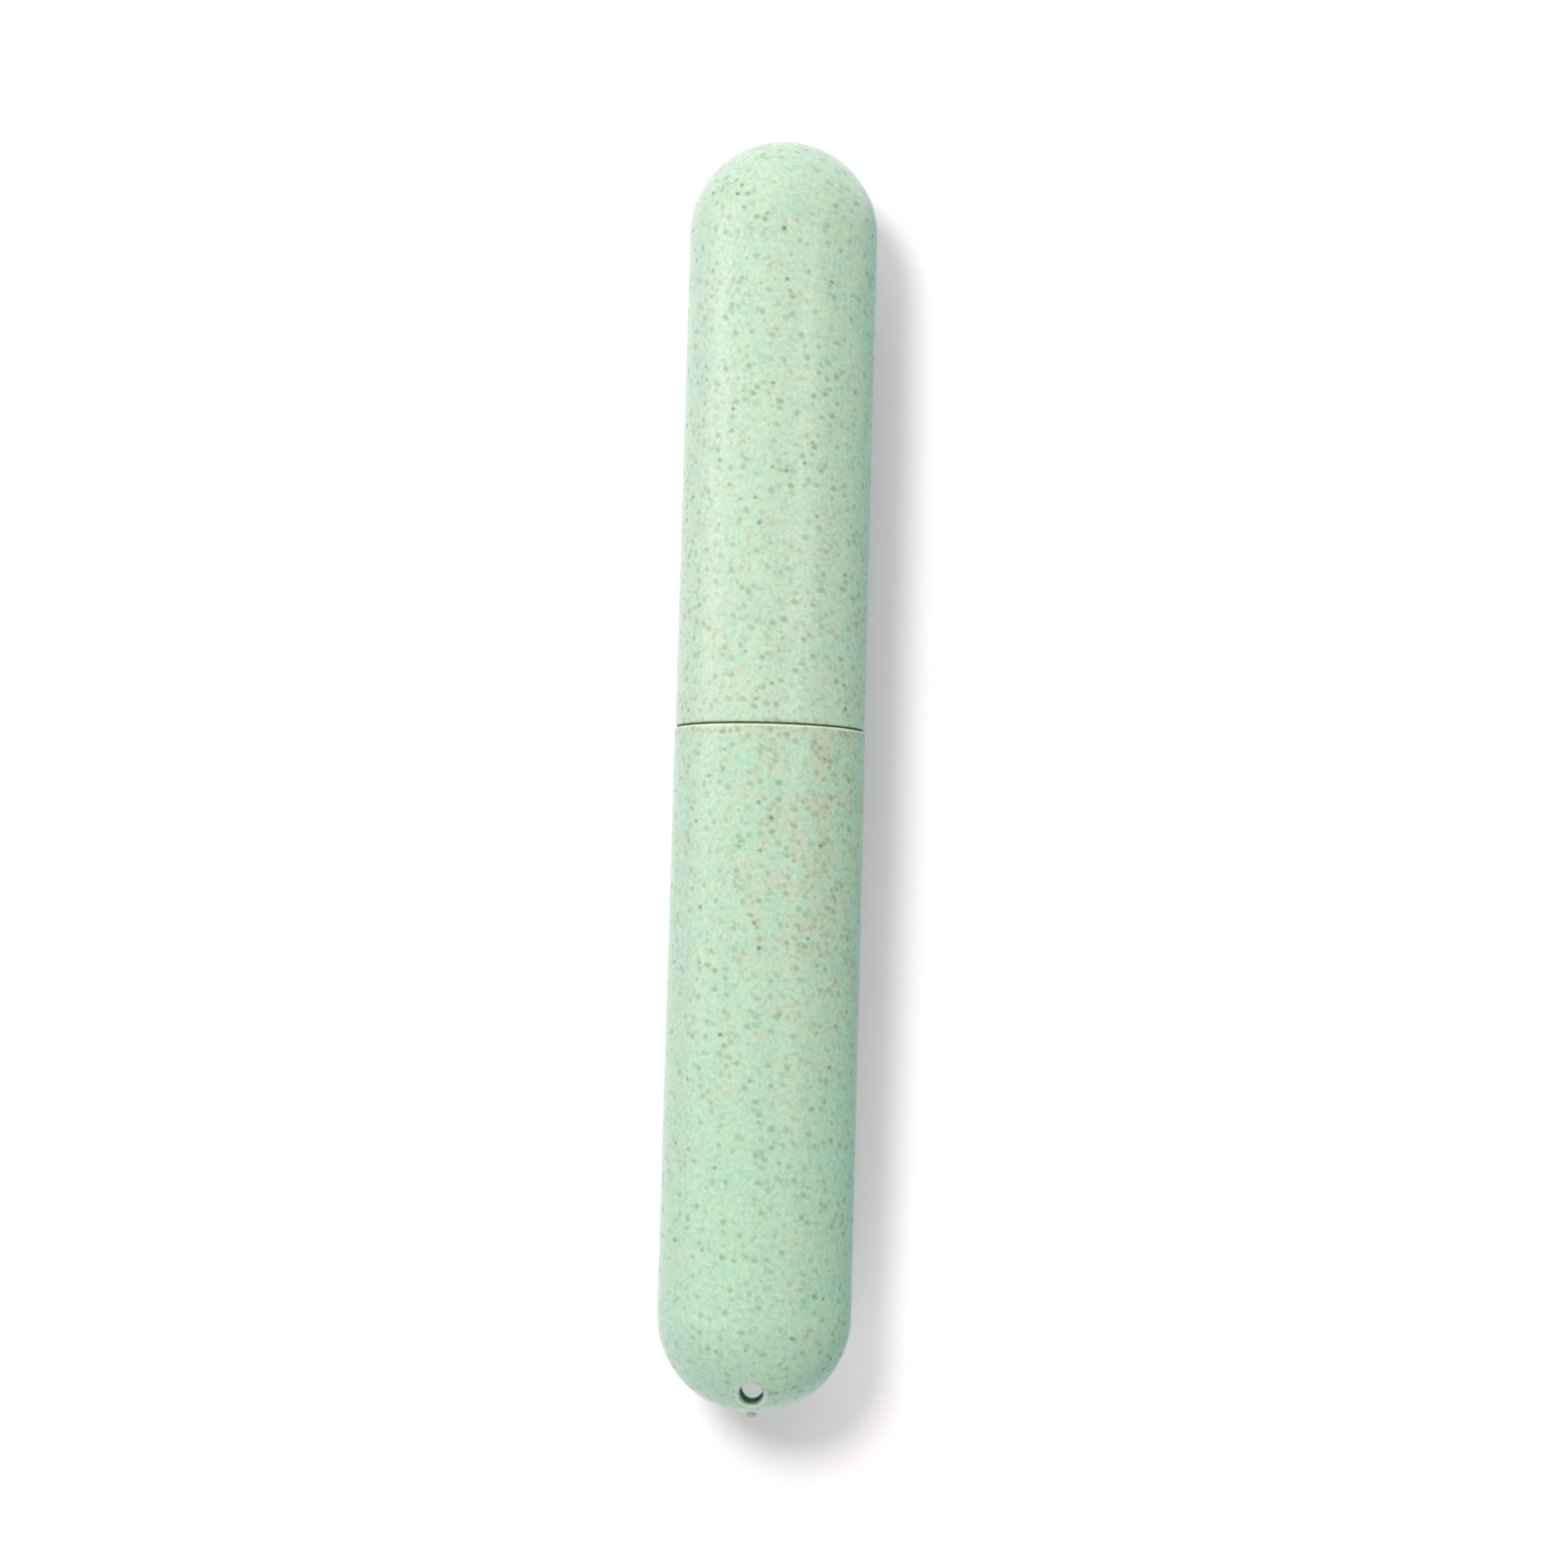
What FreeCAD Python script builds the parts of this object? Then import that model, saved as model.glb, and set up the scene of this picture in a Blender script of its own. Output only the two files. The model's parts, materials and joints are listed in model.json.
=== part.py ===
# Travel case for one toothbrush: two domed tube halves in straw-filled plastic, closed by a push fit.
# Millimetres. The closed case lies along Y with the cap towards +Y, and +Z is up.
# The origin is under the middle of the case, on the surface that it lies on.

import FreeCAD, Part
import math
import os

import Sketcher
from FreeCAD import Vector

# Each driving size: its name, its value and what it measures.
SIZES = [
    ("case_diameter", 30.0, "outside of the body at its shoulder"),
    ("body_length", 106.55, "body from shoulder to tip"),
    ("cap_length", 93.15, "cap from rim to tip"),
    ("seam_gap", 0.3, "open line between shoulder and rim, cap pushed home"),
    ("body_tip_wall", 4.45, "wall at the body's tip, thick to carry the hanging hole"),
    ("cap_tip_wall", 2.4, "wall at the cap's tip"),
    ("body_flare", 0.15, "gain of radius from the body's shoulder to its dome"),
    ("cap_taper", 0.05, "loss of radius from the cap's rim to its dome"),
    ("core_taper", 0.15, "loss of radius along each bore, which lets the core draw out"),
    ("cap_step", 0.1, "how far the cap stands in from the shoulder all round"),
    ("lip_wall", 1.05, "wall of the cap where it passes over the neck"),
    ("slide_clearance", 0.05, "play between the ribs and the lip"),
    ("neck_wall", 1.0, "wall of the neck"),
    ("neck_length", 16.0, "neck from the shoulder to its end"),
    ("neck_end_gap", 0.3, "room between the neck's end and the step in the cap"),
    ("rib_count", 6, "grip ribs round the neck"),
    ("rib_height", 0.2, "how far a rib stands off the neck"),
    ("rib_width", 1.2, "rib across its crest"),
    ("rib_foot", 1.5, "shoulder to the foot of a rib"),
    ("rib_setback", 2.0, "end of the neck to the head of a rib"),
    ("rib_lead", 2.5, "sloped run at the head of a rib"),
    ("hole_diameter", 3.6, "hanging and airing hole through the tip"),
    ("hole_setback", 3.65, "tip of the body to the middle of the hole"),
    ("hole_round", 0.35, "rounding of the hole's two outer edges"),
    ("gate_diameter", 1.7, "root of the stub left by the moulding gate"),
    ("gate_top", 1.2, "broken end of that stub"),
    ("gate_height", 0.87, "how far the stub stands out from the tip"),
    ("rim_round", 0.3, "rounding of the two edges that face each other at the seam"),
    ("root_round", 0.2, "inside corners at the foot of the neck and of the socket"),
    ("mouth_round", 0.25, "inner edges that the brush slides past"),
    ("lead_chamfer", 0.35, "lead-in on the end of the neck and inside the cap's rim"),
]

# Radii of the lapped joint, from the outside inwards.
CASE_RADIUS = "(Sizes.case_diameter / 2)"
CAP_RADIUS = f"({CASE_RADIUS} - Sizes.cap_step)"
SOCKET_RADIUS = f"({CAP_RADIUS} - Sizes.lip_wall)"
CREST_RADIUS = f"({SOCKET_RADIUS} - Sizes.slide_clearance)"
NECK_RADIUS = f"({CREST_RADIUS} - Sizes.rib_height)"
BORE_RADIUS = f"({NECK_RADIUS} - Sizes.neck_wall)"

# Domes and lengths that follow from the sizes above.
BODY_DOME = f"({CASE_RADIUS} + Sizes.body_flare)"
CAP_DOME = f"({CAP_RADIUS} - Sizes.cap_taper)"
BORE_DOME = f"({BORE_RADIUS} - Sizes.core_taper)"
SOCKET_DEPTH = "(Sizes.neck_length - Sizes.seam_gap + Sizes.neck_end_gap)"
RIB_ROOT = f"({NECK_RADIUS} - Sizes.neck_wall / 2)"
RIB_HEAD = "(Sizes.neck_length - Sizes.rib_setback)"
GATE_ROOT = "(Sizes.body_tip_wall / 2)"

# An edge treatment takes at most this share of the wall that it is cut into.
WALL_SHARE = 0.38

# Numbers that a sketch has for the points of a curve, for its origin and for its two axes.
START, END, CENTRE = range(1, 4)
ORIGIN = (-1, 1)
H_AXIS, V_AXIS = range(-1, -3, -1)

MATCH = 1e-4
CUBIC_CENTIMETRE = 1000.0


def add_sizes(doc):
    sheet = doc.addObject("Spreadsheet::Sheet", "Sizes")
    for row, (name, size, meaning) in enumerate(SIZES, start=1):
        sheet.set(f"A{row}", name)
        sheet.set(f"B{row}", str(size))
        sheet.setAlias(f"B{row}", name)
        sheet.set(f"C{row}", meaning)
    doc.recompute()


def value(doc, expression):
    return float(doc.getObject("Sizes").evalExpression(expression))


def limited(size, wall):
    return f"min(Sizes.{size}; {WALL_SHARE} * {wall})"


class Profile:
    # A sketch on the XY plane of its body: x is the radius and y runs along the case.
    # Curves are drawn near their place, and the constraints then hold them there.
    def __init__(self, body, name):
        self.doc = body.Document
        self.sketch = body.newObject("Sketcher::SketchObject", name)
        plane = next(item for item in body.Origin.OriginFeatures if item.Role == "XY_Plane")
        self.sketch.AttachmentSupport = [(plane, "")]
        self.sketch.MapMode = "FlatFace"

    def line(self, start, end):
        return self.sketch.addGeometry(Part.LineSegment(Vector(*start), Vector(*end)), False)

    def arc(self, centre, radius, first, last):
        circle = Part.Circle(Vector(*centre), Vector(0, 0, 1), radius)
        arc = Part.ArcOfCircle(circle, math.radians(first), math.radians(last))
        return self.sketch.addGeometry(arc, False)

    def circle(self, centre, radius):
        return self.sketch.addGeometry(Part.Circle(Vector(*centre), Vector(0, 0, 1), radius), False)

    def outline(self, corners):
        lines = []
        for start, end in zip(corners, corners[1:] + corners[:1]):
            lines.append(self.line(start, end))
        for first, second in zip(lines, lines[1:] + lines[:1]):
            self.hold("Coincident", first, END, second, START)
        return lines

    def hold(self, kind, *parts):
        return self.sketch.addConstraint(Sketcher.Constraint(kind, *parts))

    def size(self, name, kind, parts, expression):
        index = self.hold(kind, *parts, value(self.doc, expression))
        self.sketch.renameConstraint(index, name)
        self.sketch.setExpression(f"Constraints.{name}", expression)

    def done(self):
        self.doc.recompute()
        if not self.sketch.FullyConstrained:
            raise RuntimeError(f"{self.sketch.Name} is not fully constrained")
        return self.sketch


def add_revolution(body, name, sketch):
    feature = body.newObject("PartDesign::Revolution", name)
    feature.Profile = sketch
    feature.ReferenceAxis = (sketch, ["V_Axis"])
    feature.Angle = 360
    body.Document.recompute()
    return feature


def ring_edges(shape, radius, along):
    # The round edges about the case's axis with this radius, at this place along it.
    names = []
    for number, edge in enumerate(shape.Edges, start=1):
        if edge.Degenerated or not isinstance(edge.Curve, Part.Circle):
            continue
        curve = edge.Curve
        if abs(curve.Radius - radius) < MATCH and abs(curve.Center.y - along) < MATCH:
            names.append(f"Edge{number}")
    return names


def hole_edges(shape, hole_radius, hole_middle, dome_radius, dome_centre):
    # The edges where the hole comes out through the dome.
    names = []
    for number, edge in enumerate(shape.Edges, start=1):
        if edge.Degenerated:
            continue
        points = edge.discretize(7)
        on_hole = all(abs(math.hypot(p.x, p.y - hole_middle) - hole_radius) < MATCH for p in points)
        on_dome = all(abs(math.hypot(p.x, p.y - dome_centre, p.z) - dome_radius) < MATCH for p in points)
        if on_hole and on_dome:
            names.append(f"Edge{number}")
    return names


def treat_edges(body, name, kind, edges, expression):
    if not edges:
        raise RuntimeError(f"{name} found no edges")
    base = body.Tip
    feature = body.newObject(f"PartDesign::{kind}", name)
    feature.Base = (base, edges)
    feature.setExpression("Radius" if kind == "Fillet" else "Size", expression)
    body.Document.recompute()
    return feature


def treat_ring(body, name, kind, ring, expression):
    radius, along = (value(body.Document, part) for part in ring)
    edges = ring_edges(body.Tip.Shape, radius, along)
    return treat_edges(body, name, kind, edges, expression)


def add_body_shell(body):
    # Half section of the body: dome, wall, shoulder, neck and bore.
    doc = body.Document
    case, neck, bore = (value(doc, part) for part in (CASE_RADIUS, NECK_RADIUS, BORE_RADIUS))
    dome, bore_dome = value(doc, BODY_DOME), value(doc, BORE_DOME)
    length, tip_wall = value(doc, "Sizes.body_length"), value(doc, "Sizes.body_tip_wall")
    neck_end = value(doc, "Sizes.neck_length")
    dome_at = dome - length
    bore_at = bore_dome + tip_wall - length

    section = Profile(body, "BodySection")
    outer_dome = section.arc((0, dome_at), dome, -90, 0)
    wall = section.line((dome, dome_at), (case, 0))
    shoulder = section.line((case, 0), (neck, 0))
    neck_side = section.line((neck, 0), (neck, neck_end))
    neck_face = section.line((neck, neck_end), (bore, neck_end))
    bore_side = section.line((bore, neck_end), (bore_dome, bore_at))
    inner_dome = section.arc((0, bore_at), bore_dome, -90, 0)
    middle = section.line((0, tip_wall - length), (0, -length))

    section.hold("Tangent", outer_dome, END, wall, START)
    section.hold("Coincident", wall, END, shoulder, START)
    section.hold("Coincident", shoulder, END, neck_side, START)
    section.hold("Coincident", neck_side, END, neck_face, START)
    section.hold("Coincident", neck_face, END, bore_side, START)
    section.hold("Tangent", bore_side, END, inner_dome, END)
    section.hold("Coincident", inner_dome, START, middle, START)
    section.hold("Coincident", middle, END, outer_dome, START)
    for dome_arc in (outer_dome, inner_dome):
        section.hold("PointOnObject", dome_arc, CENTRE, V_AXIS)
        section.hold("PointOnObject", dome_arc, START, V_AXIS)
    section.hold("PointOnObject", wall, END, H_AXIS)
    section.hold("Horizontal", shoulder)
    section.hold("Vertical", neck_side)
    section.hold("Horizontal", neck_face)

    section.size("shoulder_radius", "DistanceX", (*ORIGIN, wall, END), CASE_RADIUS)
    section.size("neck_radius", "DistanceX", (*ORIGIN, neck_side, START), NECK_RADIUS)
    section.size("bore_radius", "DistanceX", (*ORIGIN, bore_side, START), BORE_RADIUS)
    section.size("neck_length", "DistanceY", (*ORIGIN, neck_side, END), "Sizes.neck_length")
    section.size("length", "DistanceY", (outer_dome, START, *ORIGIN), "Sizes.body_length")
    section.size("tip_wall", "DistanceY", (outer_dome, START, inner_dome, START), "Sizes.body_tip_wall")
    section.size("dome_radius", "Radius", (outer_dome,), BODY_DOME)
    section.size("bore_dome_radius", "Radius", (inner_dome,), BORE_DOME)
    add_revolution(body, "BodyShell", section.done())


def add_gate_stub(body):
    # Stub of the moulding gate, snapped off proud of the tip.
    doc = body.Document
    tip = -value(doc, "Sizes.body_length")
    foot, top = value(doc, "Sizes.gate_diameter / 2"), value(doc, "Sizes.gate_top / 2")
    root, height = value(doc, GATE_ROOT), value(doc, "Sizes.gate_height")

    section = Profile(body, "GateSection")
    corners = [(0, tip - height), (top, tip - height), (foot, tip), (foot, tip + root), (0, tip + root)]
    end_face, cone, side, root_face, middle = section.outline(corners)
    section.hold("PointOnObject", middle, START, V_AXIS)
    section.hold("PointOnObject", middle, END, V_AXIS)
    section.hold("Horizontal", end_face)
    section.hold("Vertical", side)
    section.hold("Horizontal", root_face)
    section.size("top_radius", "DistanceX", (*ORIGIN, cone, START), "Sizes.gate_top / 2")
    section.size("foot_radius", "DistanceX", (*ORIGIN, side, START), "Sizes.gate_diameter / 2")
    section.size("tip_place", "DistanceY", (side, START, *ORIGIN), "Sizes.body_length")
    section.size("height", "DistanceY", (cone, START, side, START), "Sizes.gate_height")
    section.size("root_depth", "DistanceY", (side, START, side, END), GATE_ROOT)
    add_revolution(body, "GateStub", section.done())


def add_hanging_hole(body):
    # Round hole straight through the thick tip, square to the case's axis. It breaks into the end of
    # the bore, so it airs the brush as well.
    doc = body.Document
    middle = value(doc, "Sizes.hole_setback - Sizes.body_length")
    radius = value(doc, "Sizes.hole_diameter / 2")
    before = body.Tip.Shape.Volume

    section = Profile(body, "HoleSection")
    hole = section.circle((0, middle), radius)
    section.hold("PointOnObject", hole, CENTRE, V_AXIS)
    section.size("radius", "Radius", (hole,), "Sizes.hole_diameter / 2")
    section.size("place", "DistanceY", (hole, CENTRE, *ORIGIN), "Sizes.body_length - Sizes.hole_setback")

    pocket = body.newObject("PartDesign::Pocket", "HangingHole")
    pocket.Profile = section.done()
    pocket.SideType = "Symmetric"
    pocket.Type = "ThroughAll"
    doc.recompute()
    if pocket.Shape.Volume >= before:
        raise RuntimeError("the hanging hole cut nothing")

    dome = value(doc, BODY_DOME)
    dome_at = dome - value(doc, "Sizes.body_length")
    edges = hole_edges(pocket.Shape, radius, middle, dome, dome_at)
    treat_edges(body, "HoleEdges", "Fillet", edges, "Sizes.hole_round")


def add_grip_ribs(body):
    # One rib, sloped at its head so that the cap runs on, repeated round the neck.
    doc = body.Document
    root, neck, crest = (value(doc, part) for part in (RIB_ROOT, NECK_RADIUS, CREST_RADIUS))
    foot, head, lead = (value(doc, part) for part in ("Sizes.rib_foot", RIB_HEAD, "Sizes.rib_lead"))

    section = Profile(body, "RibSection")
    corners = [(root, foot), (crest, foot), (crest, head - lead), (neck, head), (root, head)]
    foot_face, crest_line, slope, head_face, root_line = section.outline(corners)
    section.hold("Horizontal", foot_face)
    section.hold("Vertical", crest_line)
    section.hold("Horizontal", head_face)
    section.hold("Vertical", root_line)
    section.size("root_radius", "DistanceX", (*ORIGIN, foot_face, START), RIB_ROOT)
    section.size("crest_radius", "DistanceX", (*ORIGIN, foot_face, END), CREST_RADIUS)
    section.size("neck_radius", "DistanceX", (*ORIGIN, slope, END), NECK_RADIUS)
    section.size("foot", "DistanceY", (*ORIGIN, foot_face, START), "Sizes.rib_foot")
    section.size("head", "DistanceY", (*ORIGIN, slope, END), RIB_HEAD)
    section.size("lead", "DistanceY", (slope, START, slope, END), "Sizes.rib_lead")

    rib = add_revolution(body, "GripRib", section.done())
    rib.Midplane = True
    rib.setExpression("Angle", f"Sizes.rib_width / {CREST_RADIUS} * 180 deg / pi")
    doc.recompute()

    ribs = body.newObject("PartDesign::PolarPattern", "GripRibs")
    ribs.Originals = [rib]
    ribs.Axis = (next(item for item in body.Origin.OriginFeatures if item.Role == "Y_Axis"), [""])
    ribs.Angle = 360
    ribs.setExpression("Occurrences", "Sizes.rib_count")
    body.Tip = ribs
    doc.recompute()


def make_case_body(doc):
    body = doc.addObject("PartDesign::Body", "CaseBody")
    body.Label = "case_body"
    add_body_shell(body)
    add_gate_stub(body)
    add_hanging_hole(body)
    treat_ring(body, "ShoulderEdge", "Fillet", (CASE_RADIUS, "0"), limited("rim_round", "Sizes.lip_wall"))
    treat_ring(body, "NeckRoot", "Fillet", (NECK_RADIUS, "0"), limited("root_round", "Sizes.lip_wall"))
    neck_wall = "Sizes.neck_wall"
    neck_end = "Sizes.neck_length"
    treat_ring(body, "NeckLead", "Chamfer", (NECK_RADIUS, neck_end), limited("lead_chamfer", neck_wall))
    treat_ring(body, "NeckMouth", "Fillet", (BORE_RADIUS, neck_end), limited("mouth_round", neck_wall))
    add_grip_ribs(body)
    return body


def add_cap_shell(cap):
    # Half section of the cap: rim, wall, dome, bore and the socket that takes the neck.
    doc = cap.Document
    rim, socket, bore = (value(doc, part) for part in (CAP_RADIUS, SOCKET_RADIUS, BORE_RADIUS))
    dome, bore_dome = value(doc, CAP_DOME), value(doc, BORE_DOME)
    length, tip_wall = value(doc, "Sizes.cap_length"), value(doc, "Sizes.cap_tip_wall")
    depth = value(doc, SOCKET_DEPTH)
    dome_at = length - dome
    bore_at = length - tip_wall - bore_dome

    section = Profile(cap, "CapSection")
    wall = section.line((rim, 0), (dome, dome_at))
    outer_dome = section.arc((0, dome_at), dome, 0, 90)
    middle = section.line((0, length), (0, length - tip_wall))
    inner_dome = section.arc((0, bore_at), bore_dome, 0, 90)
    bore_side = section.line((bore_dome, bore_at), (bore, depth))
    step = section.line((bore, depth), (socket, depth))
    socket_side = section.line((socket, depth), (socket, 0))
    rim_face = section.line((socket, 0), (rim, 0))

    section.hold("Tangent", wall, END, outer_dome, START)
    section.hold("Coincident", outer_dome, END, middle, START)
    section.hold("Coincident", middle, END, inner_dome, END)
    section.hold("Tangent", inner_dome, START, bore_side, START)
    section.hold("Coincident", bore_side, END, step, START)
    section.hold("Coincident", step, END, socket_side, START)
    section.hold("Coincident", socket_side, END, rim_face, START)
    section.hold("Coincident", rim_face, END, wall, START)
    for dome_arc in (outer_dome, inner_dome):
        section.hold("PointOnObject", dome_arc, CENTRE, V_AXIS)
        section.hold("PointOnObject", dome_arc, END, V_AXIS)
    section.hold("PointOnObject", wall, START, H_AXIS)
    section.hold("Horizontal", rim_face)
    section.hold("Vertical", socket_side)
    section.hold("Horizontal", step)

    section.size("rim_radius", "DistanceX", (*ORIGIN, wall, START), CAP_RADIUS)
    section.size("socket_radius", "DistanceX", (*ORIGIN, socket_side, START), SOCKET_RADIUS)
    section.size("bore_radius", "DistanceX", (*ORIGIN, step, START), BORE_RADIUS)
    section.size("socket_depth", "DistanceY", (*ORIGIN, step, START), SOCKET_DEPTH)
    section.size("length", "DistanceY", (*ORIGIN, outer_dome, END), "Sizes.cap_length")
    section.size("tip_wall", "DistanceY", (inner_dome, END, outer_dome, END), "Sizes.cap_tip_wall")
    section.size("dome_radius", "Radius", (outer_dome,), CAP_DOME)
    section.size("bore_dome_radius", "Radius", (inner_dome,), BORE_DOME)
    add_revolution(cap, "CapShell", section.done())


def make_case_cap(doc):
    cap = doc.addObject("PartDesign::Body", "CaseCap")
    cap.Label = "case_cap"
    add_cap_shell(cap)
    lip_wall = "Sizes.lip_wall"
    treat_ring(cap, "RimEdge", "Fillet", (CAP_RADIUS, "0"), limited("rim_round", lip_wall))
    treat_ring(cap, "RimLead", "Chamfer", (SOCKET_RADIUS, "0"), limited("lead_chamfer", lip_wall))
    treat_ring(cap, "SocketRoot", "Fillet", (SOCKET_RADIUS, SOCKET_DEPTH), limited("root_round", lip_wall))
    step_width = f"({SOCKET_RADIUS} - {BORE_RADIUS})"
    treat_ring(cap, "StepMouth", "Fillet", (BORE_RADIUS, SOCKET_DEPTH), limited("mouth_round", step_width))
    return cap


def place_pieces(body, cap):
    # The closed case is centred along Y and lies on its widest part.
    shoulder_at = "(Sizes.body_length + Sizes.gate_height - Sizes.seam_gap - Sizes.cap_length) / 2"
    for piece, along in ((body, shoulder_at), (cap, f"{shoulder_at} + Sizes.seam_gap")):
        piece.setExpression(".Placement.Base.y", along)
        piece.setExpression(".Placement.Base.z", f"max({BODY_DOME}; {CASE_RADIUS}; {CAP_RADIUS})")


def check_and_write(doc, pieces):
    for item in doc.Objects:
        if "Invalid" in item.State or "Error" in item.State:
            raise RuntimeError(f"{item.Name} failed: {item.State}")
    for piece in pieces:
        if piece.Shape.isNull() or not piece.Shape.isValid() or len(piece.Shape.Solids) != 1:
            raise RuntimeError(f"{piece.Label} is not one valid solid")
    os.makedirs("parts", exist_ok=True)
    for piece in pieces:
        piece.Shape.exportStep(f"parts/{piece.Label}.step")
        box = piece.Shape.optimalBoundingBox(False, False)
        volume = piece.Shape.Volume / CUBIC_CENTIMETRE
        print(f"{piece.Label}: {volume:.2f} cm3, {box.XLength:.2f} x {box.YLength:.2f} x {box.ZLength:.2f} mm,"
              f" from Y {box.YMin:.3f} to {box.YMax:.3f} and from Z {box.ZMin:.3f} to {box.ZMax:.3f}")


def main():
    doc = FreeCAD.newDocument("toothbrush_case")
    add_sizes(doc)
    body = make_case_body(doc)
    cap = make_case_cap(doc)
    place_pieces(body, cap)
    doc.recompute()
    check_and_write(doc, [body, cap])


main()
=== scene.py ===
import json
import math

import bmesh
import bpy
from mathutils import Matrix, Vector, noise


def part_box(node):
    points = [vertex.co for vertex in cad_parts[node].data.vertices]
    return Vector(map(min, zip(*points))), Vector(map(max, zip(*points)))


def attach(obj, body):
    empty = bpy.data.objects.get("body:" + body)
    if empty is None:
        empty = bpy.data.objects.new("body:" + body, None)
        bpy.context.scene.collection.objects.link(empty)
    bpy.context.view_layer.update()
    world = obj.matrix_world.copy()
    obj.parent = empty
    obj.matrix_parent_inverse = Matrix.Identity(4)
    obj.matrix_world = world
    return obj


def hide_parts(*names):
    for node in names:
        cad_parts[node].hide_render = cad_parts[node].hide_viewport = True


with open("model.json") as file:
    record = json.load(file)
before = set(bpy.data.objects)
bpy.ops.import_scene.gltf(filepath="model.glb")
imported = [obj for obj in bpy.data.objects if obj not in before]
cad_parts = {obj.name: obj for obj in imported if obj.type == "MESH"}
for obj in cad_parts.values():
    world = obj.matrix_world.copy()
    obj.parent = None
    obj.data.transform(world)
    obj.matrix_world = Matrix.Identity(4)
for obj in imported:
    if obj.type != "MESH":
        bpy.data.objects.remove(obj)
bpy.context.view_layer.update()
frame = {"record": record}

# Round travel case for a toothbrush: two domed tubes that push together, in straw-filled plastic.
# Metres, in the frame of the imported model: the case lies along Y, cap towards +Y, and +Z is up.

mm = 0.001
weld = 0.0002 * mm              # vertices closer than this are one
onSurface = 10 * weld           # and a vertex this near a surface lies on it
sharpAngle = math.radians(35)   # an edge that turns by more than this stays sharp

bodyLow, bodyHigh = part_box("case_body")
capLow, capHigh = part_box("case_cap")
axisHeight = (bodyLow.z + bodyHigh.z) / 2   # both tubes are turned about a line along Y at this height


# Nodes and colours

# A Mix node's sockets share their names, so they go by number: share, both colours and the result.
mixShare, mixFrom, mixTo, mixResult = 0, 6, 7, 2


def hexColour(code):
    channels = [int(code[place:place + 2], 16) / 255 for place in (1, 3, 5)]
    linear = [c / 12.92 if c <= 0.04045 else ((c + 0.055) / 1.055) ** 2.4 for c in channels]
    return (*linear, 1)


def emptyTree(owner):
    owner.use_nodes = True
    owner.node_tree.nodes.clear()
    return owner.node_tree


def addNode(tree, kind, settings, inputs):
    made = tree.nodes.new(kind)
    for name, setting in settings.items():
        setattr(made, name, setting)
    for name, source in inputs.items():
        if isinstance(source, bpy.types.NodeSocket):
            tree.links.new(source, made.inputs[name])
        else:
            made.inputs[name].default_value = source
    return made.outputs


# Straw-filled plastic

strawPlastic = {
    "driftSize": 3.5 * mm,        # slow change between the two greens
    "driftRange": (0.15, 0.85),   # noise at which it is all mint, and all leaf green
    "mottleSize": 0.7 * mm,
    "mottleDetail": 3.0,
    "mottleRange": (0.3, 0.7),
    "mottleShade": 0.10,          # lighter and darker by this share
    "crowdSize": 3.2 * mm,
    "crowdRange": (0.46, 0.58),   # noise at which straw is sparse, and at which it crowds
    "haze": "#CDC8AF",            # fine straw dust that tints the plastic where flecks crowd
    "hazeStrength": 0.34,
    "wander": 0.20 * mm,          # how far a fleck's outline strays from round
    "wanderSize": 0.45 * mm,
    "palest": 0.3,                # the palest fleck of each kind, as a share of its strength
    "torn": "#D7E1AD",            # bare plastic at a torn gate
    "rubbed": "#ECF5DB",          # painted highlight on rounded edges that face the light
    "roughness": (0.41, 0.55),    # plastic, and straw
    "ior": 1.49,
    "grainSize": 0.25 * mm,       # a fine mould's grain, drawn coarse enough to show
    "grainDepth": 0.003 * mm,
}

# Each kind of fleck, in millimetres and degrees: distance between flecks, soft edge from inner to outer
# radius, share of them kept and the share added where they crowd, colour and strength, stretch along its
# own length and its turn.
flecks = [
    {"name": "husk", "spacing": 1.20, "edge": (0.06, 0.86), "kept": 0.04, "crowded": 0.80,
     "colour": "#C2BAA2", "strength": 0.55, "stretch": 1.3, "turn": (0, 20, -50)},
    {"name": "dust", "spacing": 0.75, "edge": (0.04, 0.46), "kept": 0.15, "crowded": 0.70,
     "colour": "#8B9D7D", "strength": 0.58, "stretch": 1.0, "turn": (30, 0, 70)},
    {"name": "chaff", "spacing": 1.15, "edge": (0.06, 0.78), "kept": 0.36, "crowded": 0.60,
     "colour": "#7D8F6D", "strength": 0.70, "stretch": 1.2, "turn": (10, 0, 60)},
    {"name": "straw", "spacing": 1.40, "edge": (0.05, 0.26), "kept": 0.08, "crowded": 0.35,
     "colour": "#A78A6C", "strength": 0.70, "stretch": 4.5, "turn": (15, 0, 32)},
    {"name": "bran", "spacing": 1.80, "edge": (0.08, 0.50), "kept": 0.18, "crowded": 0.15,
     "colour": "#5A6149", "strength": 0.90, "stretch": 1.2, "turn": (0, 0, 75)},
]


def stripe(tree, place, edges, strength):
    # Full between its edges. Each edge gives where the stripe is nothing and where it is full.
    share = strength
    for none, full in edges:
        rise = addNode(tree, "ShaderNodeMapRange", {"interpolation_type": "SMOOTHSTEP"},
                       {"Value": place, "From Min": none, "From Max": full})
        share = addNode(tree, "ShaderNodeMath", {"operation": "MULTIPLY"},
                        {0: rise["Result"], 1: share})["Value"]
    return share


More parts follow.
